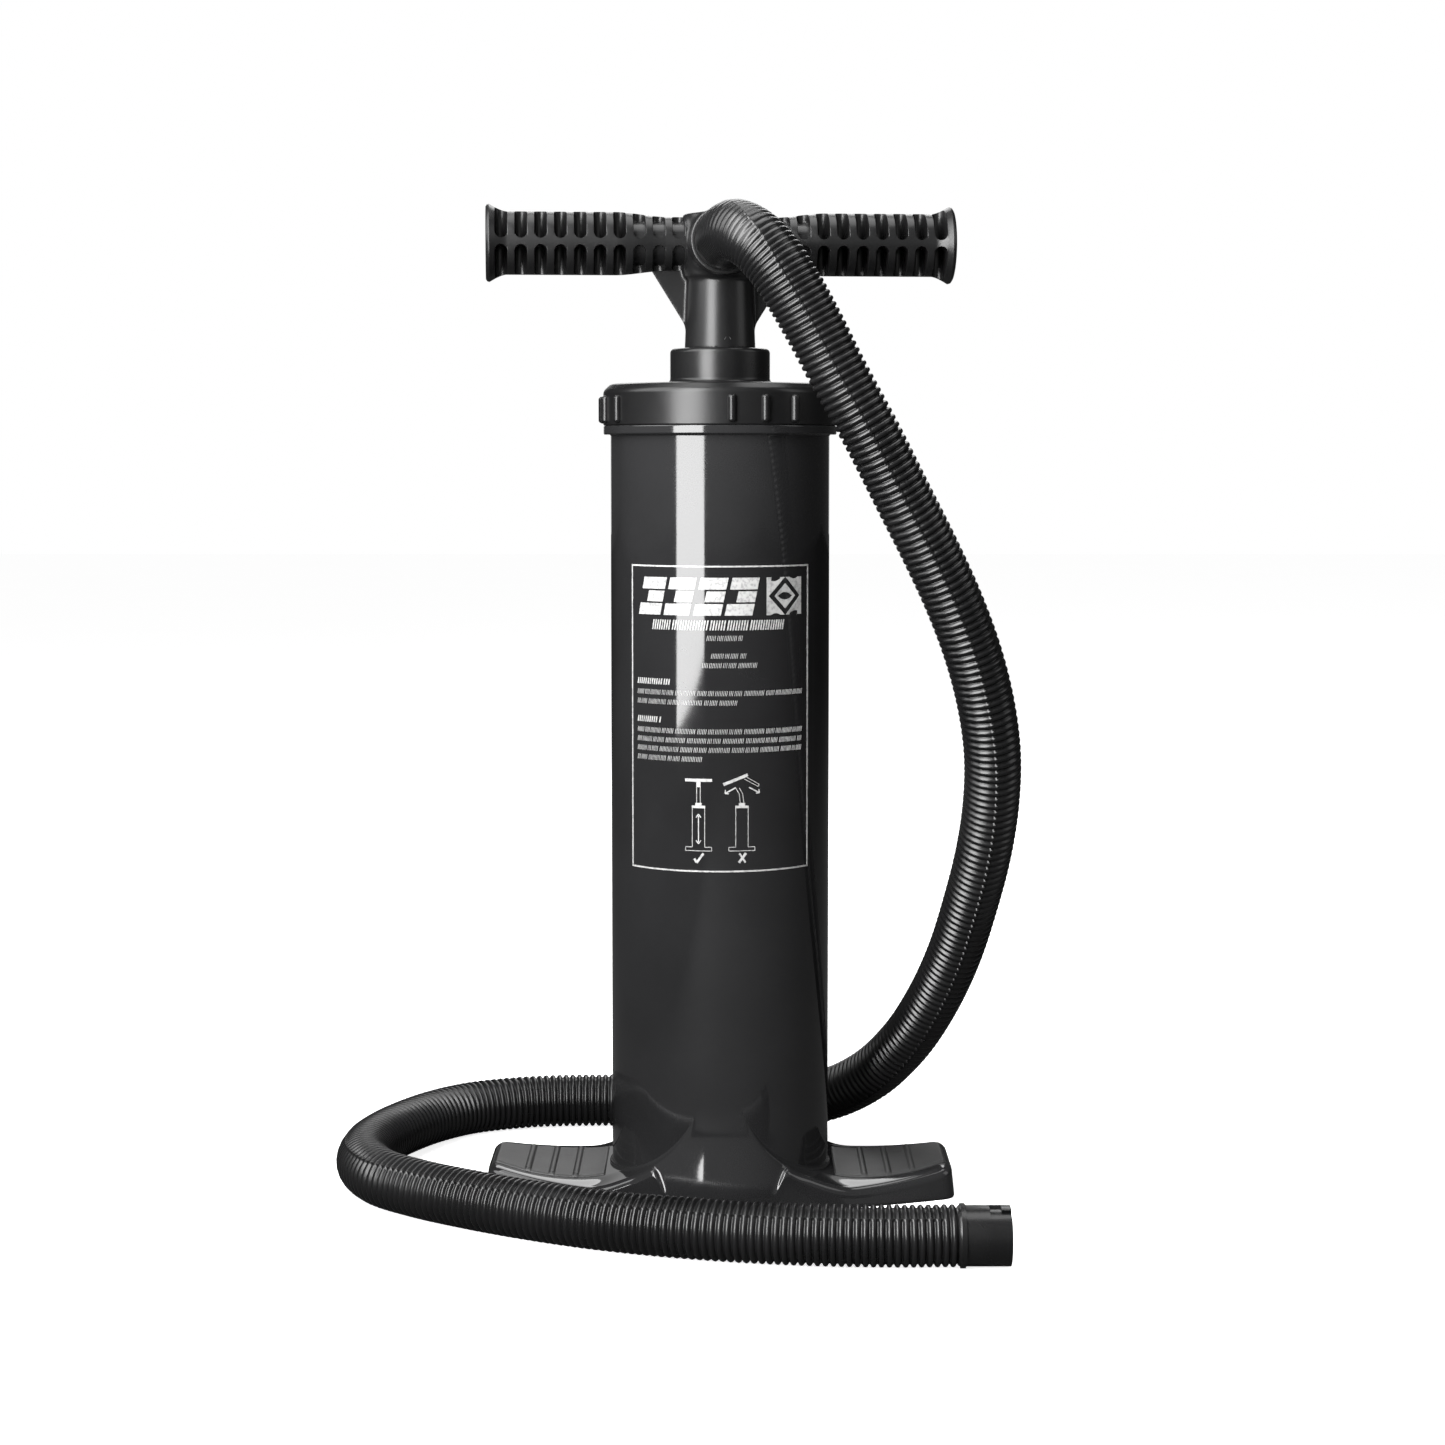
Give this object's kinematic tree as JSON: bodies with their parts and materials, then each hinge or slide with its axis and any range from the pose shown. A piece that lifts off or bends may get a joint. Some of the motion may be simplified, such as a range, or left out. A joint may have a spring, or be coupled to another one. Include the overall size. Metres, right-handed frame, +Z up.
{
  "type": "double action hand pump",
  "caption": "Standing double action air pump with foot rests, screw cap, slotted T handle, valved piston and a corrugated hose that lies round it on the floor.",
  "frame": {"origin": "on the floor, on the barrel's axis", "axes": "+Z up along the barrel, -Y to the front with the label and the air outlet, +X to the side where the hose comes down"},
  "size_m": [0.3144, 0.2654, 0.452],
  "materials": {
    "barrel_plastic": "glossy dark grey moulding",
    "label_film": "printed film",
    "cap_plastic": "satin black moulding",
    "handle_plastic": "satin black moulding",
    "hose_plastic": "semi-gloss black",
    "inner_plastic": "natural white moulding",
    "black_rubber": "matte",
    "valve_rubber": "matte",
    "rod_tube": "drawn tube",
    "fastener_steel": "zinc plated",
    "wiper_felt": "felt"
  },
  "bodies": {
    "barrel_body": {"barrel": "barrel_plastic", "label": "label_film", "lower_bumper": "black_rubber", "hose": "hose_plastic", "hose_connector": "hose_plastic"},
    "guide_body": {"rod_guide": "inner_plastic", "guide_gasket": "black_rubber", "rod_seal": "black_rubber", "upper_bumper": "black_rubber"},
    "cap_body": {"cap": "cap_plastic", "rod_wiper": "wiper_felt"},
    "handle_body": {"handle": "handle_plastic", "hub_plug": "handle_plastic", "rod_pins": "fastener_steel", "rod_outer": "rod_tube", "rod_inner": "rod_tube", "inflate_port_seal": "valve_rubber", "deflate_port_seal": "valve_rubber", "piston_upper": "inner_plastic", "piston_lower": "inner_plastic", "piston_screws": "fastener_steel", "upper_piston_ring": "black_rubber", "lower_piston_ring": "black_rubber"},
    "cuff_body": {"hose_cuff": "hose_plastic"},
    "upper_intake_body": {"upper_intake_valve": "valve_rubber"},
    "lower_intake_body": {"lower_intake_valve": "valve_rubber"},
    "upper_outlet_body": {"upper_outlet_valve": "valve_rubber"},
    "lower_outlet_body": {"lower_outlet_valve": "valve_rubber"}
  },
  "joints": [
    {"name": "cap_lift", "type": "slide", "parent": "barrel_body", "child": "guide_body", "axis": [0, 0, 1], "range_m": [0, 0.003]},
    {"name": "cap_turn", "type": "hinge", "parent": "guide_body", "child": "cap_body", "pos_m": [0, 0, 0.36], "axis": [0, 0, 1], "range_deg": [0, 360]},
    {"name": "stroke", "type": "slide", "parent": "guide_body", "child": "handle_body", "axis": [0, 0, 1], "range_m": [0, 0.285], "deforming": ["hose"]},
    {"name": "cuff_turn", "type": "hinge", "parent": "handle_body", "child": "cuff_body", "pos_m": [0, 0, 0.4345], "axis": [0.0785, -0.9969, 0], "range_deg": [0, 30]},
    {"name": "upper_intake_lift", "type": "slide", "parent": "handle_body", "child": "upper_intake_body", "axis": [0, 0, 1], "range_m": [0, 0.0015], "stiffness_N_per_m": 20, "springref_m": -0.0005},
    {"name": "lower_intake_drop", "type": "slide", "parent": "handle_body", "child": "lower_intake_body", "axis": [0, 0, -1], "range_m": [0, 0.0015], "stiffness_N_per_m": 20, "springref_m": -0.0005},
    {"name": "upper_outlet_drop", "type": "slide", "parent": "handle_body", "child": "upper_outlet_body", "axis": [0, 0, -1], "range_m": [0, 0.0015], "stiffness_N_per_m": 20, "springref_m": -0.0005},
    {"name": "lower_outlet_lift", "type": "slide", "parent": "handle_body", "child": "lower_outlet_body", "axis": [0, 0, 1], "range_m": [0, 0.0015], "stiffness_N_per_m": 20, "springref_m": -0.0005}
  ],
  "couplings": [
    {"joint": "cap_lift", "follows": "cap_turn", "m_per_rad": 0.00047746}
  ]
}
